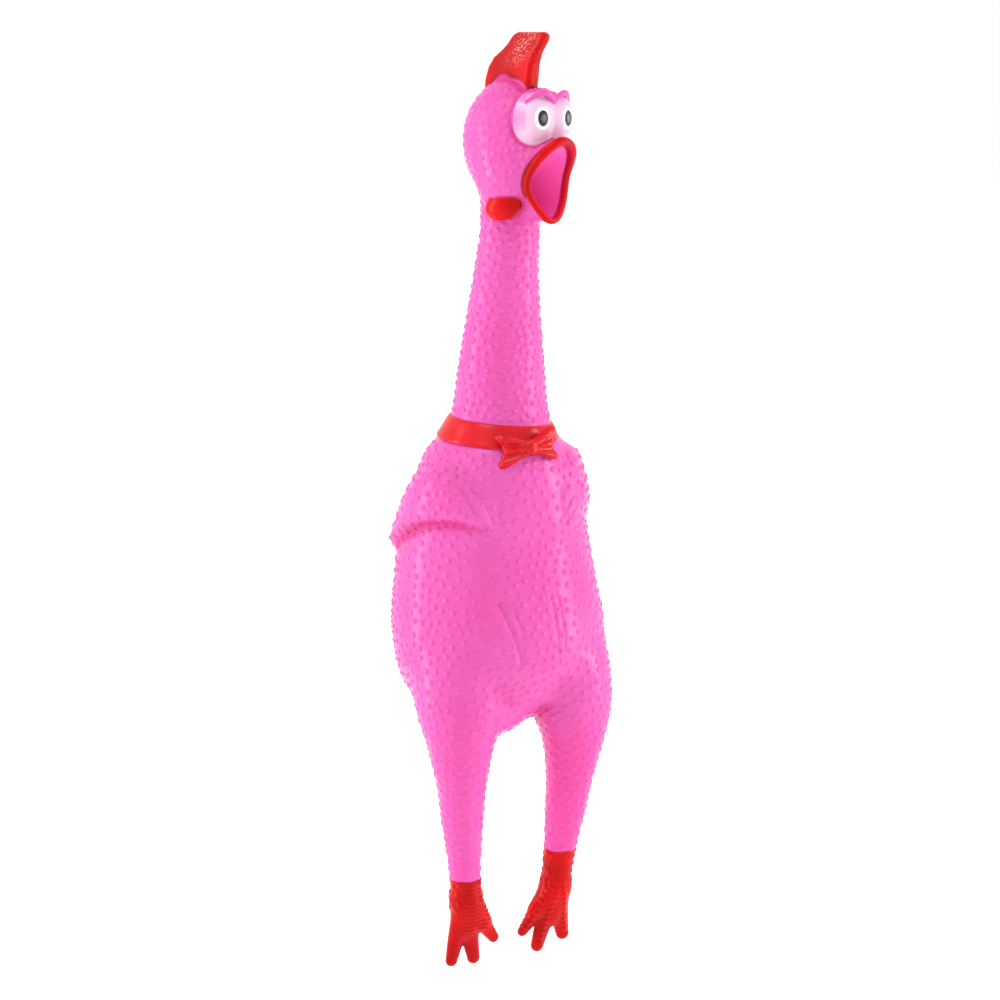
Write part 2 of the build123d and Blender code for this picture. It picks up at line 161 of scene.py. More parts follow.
# Fillets where shapes join the skin
BELLY_FILLET, RUMP_FILLET, GROIN_FILLET, HIP_FILLET, TAIL_FILLET = 4.0, 7.0, 4.0, 7.0, 5.0
TOE_FILLET, FOOT_FILLET, LEG_FILLET, NOTCH_FILLET = 2.2, 3.5, 6.0, 1.4
CHEEK_FILLET, MUZZLE_FILLET, FOREHEAD_FILLET, EYE_FILLET, BROW_FILLET = 6.0, 5.0, 4.0, 1.8, 1.2
HEAD_FILLET, COMB_FILLET, WATTLE_FILLET, LIP_FILLET = 4.0, 1.6, 1.2, 0.7
# Rounded edges
BODY_END, LEG_END, MUZZLE_FRONT, MUZZLE_REAR, THROAT_EDGE, MOUTH_EDGE = 6.0, 4.0, 1.0, 3.0, 1.5, 0.8


def mix(a, b, t):
    return a + (b - a) * t


def smooth_step(low, high, value):
    """Goes from 0 at low to 1 at high, which may be the smaller."""
    t = np.clip((value - low) / (high - low), 0, 1)
    return t * t * (3 - 2 * t)


def join(a, b, radius):
    """The union of two distance fields, with a fillet."""
    t = np.clip(0.5 + 0.5 * (b - a) / radius, 0, 1)
    return b + (a - b) * t - radius * t * (1 - t)


def meet(a, b, radius):
    """What two distance fields share, with a rounded edge."""
    return -join(-a, -b, radius)


def turned(u, v, angle):
    """A plane's two coordinates after a turn from u towards v."""
    c, s = math.cos(angle), math.sin(angle)
    return u * c - v * s, v * c + u * s


class Curve:
    """A smooth curve through a table's rows, as a function of the first column."""

    def __init__(self, rows, samples=400):
        rows = np.array(sorted(rows), float)
        at, values = rows[:, 0], rows[:, 1:]
        slope = np.gradient(values, at, axis=0)
        self.at = np.linspace(at[0], at[-1], samples)
        index = np.clip(np.searchsorted(at, self.at, "right") - 1, 0, len(at) - 2)
        width = (at[index + 1] - at[index])[:, None]
        t = (self.at[:, None] - at[index][:, None]) / width
        a, b = values[index], values[index + 1]
        sa, sb = slope[index] * width, slope[index + 1] * width
        self.values = (
            a * (2 * t**3 - 3 * t**2 + 1)
            + sa * (t**3 - 2 * t**2 + t)
            + b * (3 * t**2 - 2 * t**3)
            + sb * (t**3 - t**2)
        )

    def __call__(self, where):
        return [np.interp(where, self.at, column) for column in self.values.T]


def ellipse_distance(u, v, half_u, half_v):
    a, b = u / half_u, v / half_v
    near = np.hypot(a, b)
    return near * (near - 1) / np.maximum(np.hypot(a / half_u, b / half_v), 1e-6)


def egg(p, centre, radii, tilt=0.0, toe_in=0.0):
    """An ellipsoid, tilted about X and then turned about Z."""
    x, y, z = (p - centre).T
    if toe_in:
        x, y = turned(x, y, toe_in)
    if tilt:
        y, z = turned(y, z, -tilt)
    q = np.stack([x, y, z], axis=1) / radii
    near = np.linalg.norm(q, axis=1)
    return near * (near - 1) / np.maximum(np.linalg.norm(q / radii, axis=1), 1e-6)


def beside(p, a, b):
    """How far along a line each point is, from 0 to 1, and its offset from the line."""
    run = b - a
    t = np.clip((p - a) @ run / (run @ run), 0, 1)
    return t, p - a - t[:, None] * run


def capsule(p, a, b, radius_a, radius_b):
    """A bar between two points, in as many dimensions as they have, that tapers from end to end."""
    t, offset = beside(p, np.array(a, float), np.array(b, float))
    return np.linalg.norm(offset, axis=1) - mix(radius_a, radius_b, t)


def tube(p, line, radius):
    """A round bar along a line of points."""
    nearest = np.full(len(p), 1e9)
    for a, b in zip(line, line[1:]):
        nearest = np.minimum(nearest, (beside(p, a, b)[1] ** 2).sum(axis=1))
    return np.sqrt(nearest) - radius


def polygon(u, v, points):
    """Signed distance to a polygon in a plane."""
    nearest = np.full(len(u), 1e9)
    sign = np.ones(len(u))
    for (au, av), (bu, bv) in zip(points, points[1:] + points[:1]):
        eu, ev, wu, wv = bu - au, bv - av, u - au, v - av
        t = np.clip((wu * eu + wv * ev) / (eu * eu + ev * ev), 0, 1)
        nearest = np.minimum(nearest, (wu - eu * t) ** 2 + (wv - ev * t) ** 2)
        above, below = (v >= av) & (v < bv), (v >= bv) & (v < av)
        left = eu * wv > ev * wu
        sign = np.where((above & left) | (below & ~left), -sign, sign)
    return sign * np.sqrt(nearest)


def to_head(p):
    """From the frame's axes to the head's."""
    x, y = turned(p[:, 0], p[:, 1] - HEAD_AXIS_Y, -HEAD_TURN)
    return np.stack([x, y, p[:, 2]], axis=1)


def from_head(p):
    x, y = turned(p[:, 0], p[:, 1], HEAD_TURN)
    return np.stack([x, HEAD_AXIS_Y + y, p[:, 2]], axis=1)


def fold(p):
    """The same point on the side where X is positive."""
    return np.concatenate([np.abs(p[:, :1]), p[:, 1:]], axis=1)


column_curve = Curve(COLUMN)
leg_curve = Curve(LEG)
wing_curves = {side: Curve(rows) for side, rows in WINGS.items()}
lip_forward = Curve(LIP_FORWARD)
BROW_LINE = Curve([(i, *point) for i, point in enumerate(BROW)], samples=24).values


def brow_height(x):
    return np.interp(x, BROW_LINE[:, 0], BROW_LINE[:, 2])


def jaw(z):
    """The mouth's share of an oval's width at a height."""
    return 1 - JAW_NARROWS * smooth_step(*JAW, z)


def lip_line(count=56):
    """The lip's closed line, in the head's axes."""
    turn = np.linspace(0, 2 * math.pi, count + 1)
    x, z = LIP[0] * np.sin(turn), LIP[2] + LIP[1] * np.cos(turn)
    x *= jaw(z)
    return np.stack([x, -lip_forward(z)[0], z], axis=1)


LIP_LINE = lip_line()


def body_angle(p):
    """Degrees round the body from the middle of the breast, the same on both sides."""
    _, front, back = column_curve(p[:, 2])
    return np.degrees(np.arctan2(np.abs(p[:, 0]), (back - front) / 2 - p[:, 1]))


def wing_relief(p):
    """How far a wing stands out of the body, and how much the skin there faces down, which sets
    painted shade.
    """
    relief, under = np.zeros(len(p)), np.zeros(len(p))
    near = (p[:, 2] > WING_SPAN[0]) & (p[:, 2] < WING_SPAN[1])
    for side, curve in wing_curves.items():
        own = near & (p[:, 0] * side > 0)
        z = p[own, 2]
        edge, top, fade, height = curve(body_angle(p[own]))
        ledge = smooth_step(0, 1, (z - edge) / WING_LEDGE[side])
        relief[own] = height * ledge * smooth_step(0, 1, (top - z) / fade)
        under[own] = height * 4 * ledge * (1 - ledge)
    return relief, under


def body(p):
    """The neck and body, with the wings' relief."""
    half_width, front, back = column_curve(p[:, 2])
    middle, depth = (back - front) / 2, (back + front) / 2
    made = ellipse_distance(p[:, 0], p[:, 1] - middle, half_width, depth)
    made = meet(made, COLUMN[0][0] - p[:, 2], BODY_END)
    made = np.maximum(made, p[:, 2] - COLUMN[-1][0])
    made = join(made, egg(p, *BELLY), BELLY_FILLET)
    made = join(made, egg(p, *RUMP), RUMP_FILLET)
    made = join(made, egg(p, *GROIN), GROIN_FILLET)
    return made - wing_relief(p)[0]


def foot(p, side):
    """Three webbed toes from one hub, flatter lower down."""
    q = fold(p)
    reach = smooth_step(HUB_Z, HUB_Z - TOE_DROP, q[:, 2])
    flat = q.copy()
    flat[:, 1] = (q[:, 1] + mix(HUB_FRONT, TOE_FRONT, reach)) * mix(1.0, TOE_FLATTEN, reach)
    made = np.full(len(p), 1e9)
    for out, z, radius in TOES[side] + WEBS[side]:
        toe = capsule(flat, (HUB_OUT, 0, HUB_Z), (out, 0, z), HUB_RADIUS, radius)
        made = join(made, toe, TOE_FILLET)
    return made


def legs(p):
    q = fold(p)
    radius, out, forward = leg_curve(q[:, 2])
    made = np.hypot(q[:, 0] - out, q[:, 1] + forward) - radius
    made = np.maximum(made, q[:, 2] - LEG[0][0])
    made = meet(made, LEG[-1][0] - q[:, 2], LEG_END)
    made = join(made, egg(q, *HIP), HIP_FILLET)
    low = p[:, 2] < FOOT_TOP
    for _, side in SIDES:
        here = low & (p[:, 0] * side > 0)
        made[here] = join(made[here], foot(p[here], side), FOOT_FILLET)
    return made


def mouth_outline(q, sizes):
    """An upright oval that may change its size from point to point."""
    half_width, half_height, middle = sizes
    return ellipse_distance(q[:, 0], q[:, 2] - middle, half_width * jaw(q[:, 2]), half_height)


def mouth_depth(q):
    """How far behind the lip a point is."""
    return lip_forward(q[:, 2])[0] + q[:, 1]


def within_lip(q):
    return (np.abs(q[:, 0]) < LIP[0]) & (np.abs(q[:, 2] - LIP[2]) < LIP[1])


def muzzle(q):
    """The beak's outside, which widens from the lip into the head."""
    depth = mouth_depth(q)
    t = np.clip(depth / MUZZLE_LENGTH, 0, 1)
    shape = mouth_outline(q, [mix(a, b, t) for a, b in zip(MUZZLE_EDGE, MUZZLE_BACK)])
    return meet(meet(shape, -depth, MUZZLE_FRONT), q[:, 1] + MUZZLE_END, MUZZLE_REAR)


def mouth_room(q):
    """The open funnel inside the beak, down to the throat."""
    depth = mouth_depth(q)
    t = np.clip(depth / (lip_forward(q[:, 2])[0] - THROAT_FORWARD), 0, 1) ** FUNNEL_FLARE
    shape = mouth_outline(q, [mix(a, b, t) for a, b in zip(FUNNEL_EDGE, THROAT)])
    return meet(shape, q[:, 1] + THROAT_FORWARD, THROAT_EDGE)


def lip(q):
    return tube(q, LIP_LINE, LIP_RADIUS) - UPPER_LIP_EXTRA * smooth_step(*UPPER_LIP, q[:, 2])


def comb(q):
    side_view = polygon(q[:, 1], q[:, 2], COMB)
    half = mix(*COMB_HALF, smooth_step(*COMB_TAPER, q[:, 2]))
    a, b = side_view + COMB_EDGE, np.abs(q[:, 0]) - half + COMB_EDGE
    outside = np.hypot(np.maximum(a, 0), np.maximum(b, 0))
    return outside + np.minimum(np.maximum(a, b), 0) - COMB_EDGE


def wattle(q):
    return egg(fold(q), *WATTLE, tilt=-WATTLE_TILT, toe_in=WATTLE_TOE_IN)


def eyes(q):
    return egg(fold(q), *EYE)


def brow(q):
    start, end, share = BROW_TIP
    radius = BROW_RADIUS * mix(1, share, smooth_step(start, end, np.abs(q[:, 0])))
    return tube(fold(q), BROW_LINE, radius)


def bare_head(q):
    """The head without its comb, wattles and lip."""
    made = egg(q, *SKULL)
    made = join(made, egg(fold(q), *CHEEK), CHEEK_FILLET)
    made = join(made, muzzle(q), MUZZLE_FILLET)
    made = join(made, egg(q, *FOREHEAD), FOREHEAD_FILLET)
    made = join(made, eyes(q), EYE_FILLET)
    return join(made, brow(q), BROW_FILLET)


def skin(p):
    """Signed distance to the whole skin."""
    made = body(p)
    low, high = p[:, 2] < LEGS_BELOW, p[:, 2] > HEAD_ABOVE
    notch = smooth_step(*NOTCH[0], p[low, 0]) * smooth_step(*NOTCH[1], p[low, 2])
    made[low] = join(made[low], legs(p[low]), mix(LEG_FILLET, NOTCH_FILLET, notch))
    made[low] = join(made[low], egg(p[low], *TAIL), TAIL_FILLET)
    q = to_head(p[high])
    head = join(made[high], bare_head(q), HEAD_FILLET)
    head = join(head, comb(q), COMB_FILLET)
    head = join(head, wattle(q), WATTLE_FILLET)
    head = meet(head, -mouth_room(q), MOUTH_EDGE)
    made[high] = join(head, lip(q), LIP_FILLET)
    return made


# -------- from distance field to mesh


def slopes(field, p, step=0.05):
    """The field's value and gradient at each point."""
    corners = np.array([(1, -1, -1), (-1, -1, 1), (-1, 1, -1), (1, 1, 1)], float)
    values = [field(p + corner * step) for corner in corners]
    gradient = sum(v[:, None] * corner for v, corner in zip(values, corners)) / (4 * step)
    return sum(values) / 4, gradient


def settle(field, p, rounds=1, reach=0.6):
    """Moves points onto the field's zero surface."""
    for _ in range(rounds):
        value, gradient = slopes(field, p)
        size = np.maximum(np.linalg.norm(gradient, axis=1), 0.2)
        move = np.clip(value / size, -reach, reach)
        p = p - gradient * (move / size)[:, None]
    return p


def unit(vectors):
    return vectors / np.maximum(np.linalg.norm(vectors, axis=1, keepdims=True), 1e-9)


def surface_nets(field, low, high, step):
    """Points and four-sided faces on the field's zero surface, one point to a grid cell."""
    axes = [np.arange(a, b + step, step) for a, b in zip(low, high)]
    shape = tuple(len(axis) for axis in axes)
    grid = np.empty(shape)
    layer_x, layer_y = np.meshgrid(axes[0], axes[1], indexing="ij")
    for k, z in enumerate(axes[2]):
        layer = np.stack([layer_x.ravel(), layer_y.ravel(), np.full(layer_x.size, z)], axis=1)
        grid[:, :, k] = field(layer).reshape(shape[:2])
    inside = grid < 0
    count = np.zeros([n - 1 for n in shape], np.int8)
    offsets = [(i, j, k) for i in (0, 1) for j in (0, 1) for k in (0, 1)]
    for i, j, k in offsets:
        count += inside[i : i + shape[0] - 1, j : j + shape[1] - 1, k : k + shape[2] - 1]
    cells = np.argwhere((count > 0) & (count < 8))
    number = np.full(count.shape, -1, np.int64)
    number[tuple(cells.T)] = np.arange(len(cells))
    corner = {o: grid[tuple((cells + o).T)] for o in offsets}
    total, hits = np.zeros((len(cells), 3)), np.zeros(len(cells))
    for a in offsets:
        for axis in range(3):
            if a[axis]:
                continue
            b = tuple(v + (n == axis) for n, v in enumerate(a))
            crossed = (corner[a] < 0) != (corner[b] < 0)
            t = np.where(crossed, corner[a] / np.where(crossed, corner[a] - corner[b], 1), 0)
            point = np.array(a, float) + t[:, None] * (np.array(b, float) - a)
            total += np.where(crossed[:, None], point, 0)
            hits += crossed
    points = (cells + total / hits[:, None]) * step + np.array(low, float)
    faces = []
    for axis in range(3):
        u, v = (axis + 1) % 3, (axis + 2) % 3
        ahead = np.roll(inside, -1, axis)
        edges = np.argwhere(inside != ahead)
        edges = edges[(edges[:, axis] < shape[axis] - 1) & (edges[:, u] > 0) & (edges[:, v] > 0)]
        step_u, step_v = np.eye(3, dtype=int)[u], np.eye(3, dtype=int)[v]
        around = [edges, edges - step_u, edges - step_u - step_v, edges - step_v]
        quad = np.stack([number[tuple(cell.T)] for cell in around], axis=1)
        outward = inside[tuple(edges.T)]
        faces.append(np.where(outward[:, None], quad, quad[:, ::-1]))
    return points, np.concatenate(faces)


def add_up(numbers, rows, count):
    """The sum of the rows that have each number."""
    return np.stack([np.bincount(numbers, column, count) for column in rows.T], axis=1)


def neighbours_mean(points, faces):
    """Each point's average over the points that share an edge with it."""
    a, b = faces.ravel(), np.roll(faces, -1, axis=1).ravel()
    total = add_up(a, points[b], len(points)) + add_up(b, points[a], len(points))
    return total / np.maximum(np.bincount(a, minlength=len(points)) * 2, 1)[:, None]


def relax(field, points, faces, rounds):
    """Evens out the faces along the surface."""
    for _ in range(rounds):
        points = settle(field, mix(points, neighbours_mean(points, faces), 0.6))
    return points


def divide(points, faces):
    """Cuts each face into four."""
    edges = np.stack([faces.ravel(), np.roll(faces, -1, axis=1).ravel()], axis=1)
    edges.sort(axis=1)
    key = edges[:, 0] * len(points) + edges[:, 1]
    _, first, back = np.unique(key, return_index=True, return_inverse=True)
    edge_points = points[edges[first]].mean(axis=1)
    centres = points[faces].mean(axis=1)
    middle = len(points) + back.reshape(faces.shape)
    centre = len(points) + len(first) + np.arange(len(faces))
    quads = [
        np.stack([faces[:, n], middle[:, n], centre, middle[:, n - 1]], axis=1) for n in range(4)
    ]
    return np.concatenate([points, edge_points, centres]), np.concatenate(quads)


def mesh_normals(points, faces):
    a, b = points[faces[:, 2]] - points[faces[:, 0]], points[faces[:, 3]] - points[faces[:, 1]]
    return unit(add_up(faces.ravel(), np.repeat(np.cross(a, b), 4, axis=0), len(points)))


# -------- bumps, folds, scutes and paint

BUMP_RADIUS = 1.35
BUMP_HEIGHT = 0.58
BUMP_FREE = BUMP_RADIUS * 0.8  # how much room a bump's middle needs
BUMP_SPACING = [(-170, 3.2), (-60, 3.3), (-35, 3.7), (50, 3.7), (80, 3.1), (230, 3.0)]
HEAD_BUMPS, LEG_BUMPS = (150, 163), (-36, -62)  # bumps get lower over these heights
LOWER_ON_HEAD, LOWER_ON_LEGS = 0.38, 0.2  # share of a bump's height taken off
CREASES = [  # points, depth, half width
    ([(-27.5, -21, 44), (-24, -25, 36), (-19.5, -29, 28)], 0.8, 0.9),
    ([(-24, -24, 45), (-20, -28, 38), (-16.5, -31, 31)], 0.6, 0.8),
    ([(27.5, -21, 44), (24, -25, 36), (19.5, -29, 28)], 0.8, 0.9),
    ([(24, -24, 45), (20, -28, 38), (16.5, -31, 31)], 0.6, 0.8),
    ([(-16, -35, -2), (-11.5, -38, -14), (-7.5, -38, -27)], 0.9, 1.1),
    ([(-11, -37, -2), (-8.5, -38, -10), (-6, -38, -18)], 0.5, 0.9),
    ([(8.5, -37, 0), (9, -38, -12), (9.5, -37, -24)], 0.55, 0.8),
    ([(12, -36, 1), (12.5, -37, -12), (13, -36, -24)], 0.55, 0.8),
]
SCUTE_PITCH, SCUTE_HEIGHT = 1.95, 0.55
SCUTE_FADES = ((25.5, 22), (10, 12.5), (-153, -150))  # at the patch's outer, inner, lower edge
SCUTE_FRONT, BEAD_FRONT = -11, -8  # only on skin in front of these
BEAD_PITCH, BEAD_HEIGHT = 2.7, 0.8
BEAD_START = np.array([21.0, -128.0])  # where the rows of beads meet: out, height
BEAD_BARE = 4  # no beads this near to there
BEAD_WIDTH = (1.5, 0.2)
BARE_GAP = 0.6  # no bumps this near to the eyes, brow, lip, comb and wattles
BARE_FACE = (5, 0.4, 190)  # nor this far behind the lip, less towards its ends, below this height
BARE_BAND = (65.5, 0.06, 0.07, 5.5)  # under the collar: height, slopes, half width
BARE_FOOT = (22, 4, 17.0, 1.5)  # an ankle's middle, half width; bumps end below the paint's edge
ROOMY = 9.0  # further than matters


def paint_line(x):
    """The height of the red paint's edge on each leg."""
    return np.where(x > 0, PAINT_Z[1], PAINT_Z[-1])


def bump_room(p):
    """How far each point is from anything that has no bumps, up to a few millimetres."""
    room = np.full(len(p), ROOMY)
    high = p[:, 2] > FACE_ABOVE
    h = to_head(p[high])
    bare = np.minimum.reduce([eyes(h), brow(h), lip(h), comb(h), wattle(h), mouth_room(h) + 1])
    depth, slope, top = BARE_FACE
    front = mouth_depth(h) - depth + slope * np.abs(h[:, 2] - LIP[2])
    room[high] = np.minimum(bare - BARE_GAP, np.where(h[:, 2] < top, front, ROOMY))
    height, slope_y, slope_x, half = BARE_BAND
    collar = np.abs(p[:, 2] - height - slope_y * p[:, 1] + slope_x * p[:, 0]) - half
    ankle, half, beside_it, on_it = BARE_FOOT
    lower = np.where(np.abs(np.abs(p[:, 0]) - ankle) > half, beside_it, on_it)
    return np.minimum(np.minimum(room, collar), p[:, 2] - paint_line(p[:, 0]) + lower)


def tree_of(places):
    """A search tree of points."""
    tree = kdtree.KDTree(len(places))
    for number, place in enumerate(places):
        tree.insert(place, number)
    tree.balance()
    return tree


def bump_centres(points, seed=7):
    """Places spread evenly over the skin where bumps stand."""
    free = points[bump_room(points) > BUMP_FREE]
    tree = tree_of(free)
    spacing = np.interp(free[:, 2], *np.array(BUMP_SPACING).T)
    open_places = np.ones(len(free), bool)
    centres = []
    for number in np.random.default_rng(seed).permutation(len(free)):
        if open_places[number]:
            centres.append(number)
            near = tree.find_range(free[number], spacing[number])
            open_places[[other for _, other, _ in near]] = False
    centres = free[centres]
    for _ in range(3):
        owner = nearest_of(centres, free)[0]
        count = np.maximum(np.bincount(owner, minlength=len(centres)), 1)
        middle = add_up(owner, free, len(centres)) / count[:, None]
        centres = np.array([tree.find(point)[0] for point in middle])
    return centres


def nearest_of(places, points):
    """For each point, the nearest place's number and how far it is."""
    tree = tree_of(places)
    found = [tree.find(point) for point in points]
    return np.array([f[1] for f in found]), np.array([f[2] for f in found])


def scutes(p):
    """Cross ridges down the right foot's inner front, and rows of beads along the left toes."""
    out, z = fold(p)[:, 0], p[:, 2]
    right = (p[:, 0] < 0) & (p[:, 1] < SCUTE_FRONT) & (z < PAINT_Z[-1] - 1)
    wave = 0.5 + 0.5 * np.cos(2 * math.pi * z / SCUTE_PITCH)
    outer, inner, lower = SCUTE_FADES
    place = smooth_step(*outer, out) * smooth_step(*inner, out) * smooth_step(*lower, z)
    raised = np.where(right, SCUTE_HEIGHT * wave * place, 0)
    left = (p[:, 0] > 0) & (p[:, 1] < BEAD_FRONT) & (z < PAINT_Z[1] - 6)
    flat = np.stack([out, z], axis=1) - BEAD_START
    for toe_out, toe_z, _ in TOES[1]:
        run = np.array([toe_out, toe_z + 1.5]) - BEAD_START
        length = np.linalg.norm(run)
        along, across = flat @ run / length, np.abs(np.cross(flat, run) / length)
        wave = np.cos(math.pi * along / BEAD_PITCH) ** 2 * smooth_step(*BEAD_WIDTH, across)
        on_toe = left & (along > BEAD_BARE) & (along < length)
        raised = np.where(on_toe, np.maximum(raised, BEAD_HEIGHT * wave), raised)
    return raised


def folded(p):
    """How deep the skin's creases are."""
    depth = np.zeros(len(p))
    for line, deep, half in CREASES:
        near = tube(p, settle(skin, np.array(line, float), 8, 2.0), 0.0)
        depth += deep * np.exp(-((near / half) ** 2))
    return depth


# -------- objects


def add_object(name, points, faces, material, normals=None):
    """A smooth-shaded piece from points in millimetres."""
    mesh = bpy.data.meshes.new(name)
    mesh.vertices.add(len(points))
    mesh.vertices.foreach_set("co", (points * MM).astype(np.float32).ravel())
    sides = faces.shape[1]
    mesh.loops.add(faces.size)
    mesh.loops.foreach_set("vertex_index", faces.ravel().astype(np.int32))
    mesh.polygons.add(len(faces))
    mesh.polygons.foreach_set("loop_start", np.arange(0, faces.size, sides, dtype=np.int32))
    mesh.update(calc_edges=True)
    mesh.validate()
    mesh.shade_smooth()
    if normals is not None:
        mesh.normals_split_custom_set_from_vertices(normals.astype(np.float32))
    mesh.materials.append(material)
    made = bpy.data.objects.new(name, mesh)
    bpy.context.scene.collection.objects.link(made)
    return made


def add_values(made, name, values):
    attribute = made.data.attributes.new(name, "FLOAT", "POINT")
    attribute.data.foreach_set("value", values.astype(np.float32))


# -------- materials


class Nodes:
    """Builds one material's nodes."""

    def __init__(self, name):
        self.material = bpy.data.materials.new(name)
        self.material.use_nodes = True
        self.tree = self.material.node_tree
        self.shader = self.tree.nodes["Principled BSDF"]

    def set(self, **values):
        for name, value in values.items():
            self.shader.inputs[name.replace("_", " ")].default_value = value

    def link(self, source, target):
        self.tree.links.new(source, target)

    def drive(self, name, source):
        self.link(source, self.shader.inputs[name])

    def fill(self, sockets, values):
        for socket, value in zip(sockets, values):
            if isinstance(value, bpy.types.NodeSocket):
                self.link(value, socket)
            else:
                socket.default_value = (*value, 1.0) if isinstance(value, tuple) else value

    def add(self, kind, **values):
        node = self.tree.nodes.new(kind)
        for name, value in values.items():
            setattr(node, name, value)
        return node

    def attribute(self, name):
        return self.add("ShaderNodeAttribute", attribute_name=name).outputs["Fac"]

    def noise(self, scale, detail=3.0, roughness=0.5):
        where = self.add("ShaderNodeTexCoord")
        node = self.add("ShaderNodeTexNoise")
        node.inputs["Scale"].default_value = scale
        node.inputs["Detail"].default_value = detail
        node.inputs["Roughness"].default_value = roughness
        self.link(where.outputs["Object"], node.inputs["Vector"])
        return node.outputs["Fac"]

    def remap(self, source, low, high, to_low=0.0, to_high=1.0):
        node = self.add("ShaderNodeMapRange", interpolation_type="SMOOTHSTEP")
        names = ("Value", "From Min", "From Max", "To Min", "To Max")
        self.fill([node.inputs[name] for name in names], (source, low, high, to_low, to_high))
        return node.outputs["Result"]

    def mix(self, factor, first, second, blend="MIX"):
        node = self.add("ShaderNodeMix", data_type="RGBA", blend_type=blend)
        self.fill([node.inputs[n] for n in (0, 6, 7)], (factor, first, second))
        return node.outputs[2]

    def math(self, first, second, kind="MULTIPLY"):
        node = self.add("ShaderNodeMath", operation=kind)
        self.fill(node.inputs, (first, second))
        return node.outputs[0]

    def bump(self, source, strength, distance):
        node = self.add("ShaderNodeBump")
        node.inputs["Strength"].default_value = strength
        node.inputs["Distance"].default_value = distance
        self.link(source, node.inputs["Height"])
        self.drive("Normal", node.outputs["Normal"])


PINK = (0.64, 0.092, 0.375)
PINK_DEEP = (0.64, 0.045, 0.285)
PINK_PALE = (0.73, 0.135, 0.45)
LEG_PINK = (0.72, 0.045, 0.27)
SPECK_AND_GLINT = (0.80, 0.36, 0.34)
RED = (0.40, 0.001, 0.002)
RED_BRIGHT = (0.56, 0.002, 0.003)
WHITE_TINT = (0.70, 0.46, 0.62)
WHITE = (0.80, 0.78, 0.80)
LINING = (0.84, 0.10, 0.42)
THROAT_PINK = (0.72, 0.02, 0.18)
# Painted shade round each bump's foot and in folds and creases
RING_SHADE_PINK = (0.60, 0.030, 0.24)
FOLD_SHADE_PINK = (0.56, 0.014, 0.17)
FOLD_SHADE_RED = (0.20, 0.001, 0.002)
GLOSS_RED = (0.52, 0.003, 0.008)
GLOSS_RED_LIGHT = (0.60, 0.006, 0.013)
BLACK = (0.006, 0.006, 0.007)
PUPIL_REFLECTION_DARK = (0.09, 0.085, 0.09)
PUPIL_REFLECTION = (0.22, 0.20, 0.21)


def vinyl(name, specular=0.24, coat=0.06):
    """Soft glossy vinyl in pink, with the red and white paint that the attributes place, and painted
    shade and highlights on the bumps and in the folds.
    """
    made = Nodes(name)
    drift = made.remap(made.noise(22.0, 2.0), 0.35, 0.65)
    colour = made.mix(made.math(drift, 0.35), PINK, PINK_DEEP)
    mottle = made.remap(made.noise(190.0, 3.0), 0.45, 0.75)
    colour = made.mix(made.math(mottle, 0.18), colour, PINK_PALE)
    low = made.math(made.attribute("low_pink"), 0.6)
    colour = made.mix(low, colour, LEG_PINK)
    # Painted shade: a deeper ring round each bump's foot
    colour = made.mix(made.attribute("ring"), colour, RING_SHADE_PINK)
    # Painted highlight: the bumps' tips paler
    top = made.remap(made.attribute("tip"), 0.6, 1.0)
    colour = made.mix(made.math(top, 0.22), colour, PINK_PALE)
    # Painted shade in folds, creases and under the wings' edges
    crease_shade = made.remap(made.attribute("sunk"), 0.05, 0.75)
    colour = made.mix(made.math(crease_shade, 0.75), colour, FOLD_SHADE_PINK)
    lining = made.attribute("lining")
    colour = made.mix(made.remap(lining, 0.0, 0.25), colour, LINING)
    colour = made.mix(made.remap(lining, 0.5, 1.0), colour, THROAT_PINK)
    white = made.attribute("white")
    colour = made.mix(made.remap(white, 0.0, 1.0), colour, WHITE_TINT)
    colour = made.mix(made.remap(white, 1.0, 1.8), colour, WHITE)
    shade = made.mix(made.remap(made.noise(60.0, 3.0), 0.35, 0.7), RED, RED_BRIGHT)
    # Pale specks along the comb's ridge: partly the paint's grain, partly painted glints
    fine = made.remap(made.noise(1500.0, 2.0, 0.7), 0.52, 0.66)
    shade = made.mix(made.math(fine, made.attribute("grain")), shade, SPECK_AND_GLINT)
    # Painted shade in the red paint's folds and creases
    shade = made.mix(crease_shade, shade, FOLD_SHADE_RED)
    colour = made.mix(made.remap(made.attribute("red"), -0.35, 0.45), colour, shade)
    made.drive("Base Color", colour)
    grain = made.noise(900.0, 4.0, 0.6)
    sparkle = made.attribute("grain")
    made.drive("Roughness", made.remap(made.noise(70.0, 3.0), 0.3, 0.7, 0.25, 0.36))
    height = made.math(grain, made.math(sparkle, made.noise(1500.0, 2.0)), "ADD")
    made.bump(height, 0.10, 0.0005)
    made.set(
        Subsurface_Weight=0.22,
        Subsurface_Scale=0.004,
        IOR=1.42,
        Specular_IOR_Level=specular,
        Coat_Weight=coat,
        Coat_Roughness=0.15,
        Subsurface_Radius=(1.0, 0.35, 0.6),
    )
    return made.material


def red_gloss(name):
    """The collar's and bow's glossy red paint."""
    made = Nodes(name)
    drift = made.remap(made.noise(45.0, 3.0), 0.35, 0.7)
    shade = made.mix(drift, GLOSS_RED, GLOSS_RED_LIGHT)
    made.drive("Base Color", shade)
    made.drive("Roughness", made.remap(made.noise(120.0, 3.0), 0.3, 0.7, 0.2, 0.3))
    made.bump(made.noise(700.0, 3.0), 0.08, 0.0005)
    made.set(
        Subsurface_Weight=0.1,
        Subsurface_Scale=0.003,
        IOR=1.42,
        Specular_IOR_Level=0.22,
        Coat_Weight=0.1,
        Coat_Roughness=0.12,
        Subsurface_Radius=(1.0, 0.3, 0.3),
    )
    return made.material


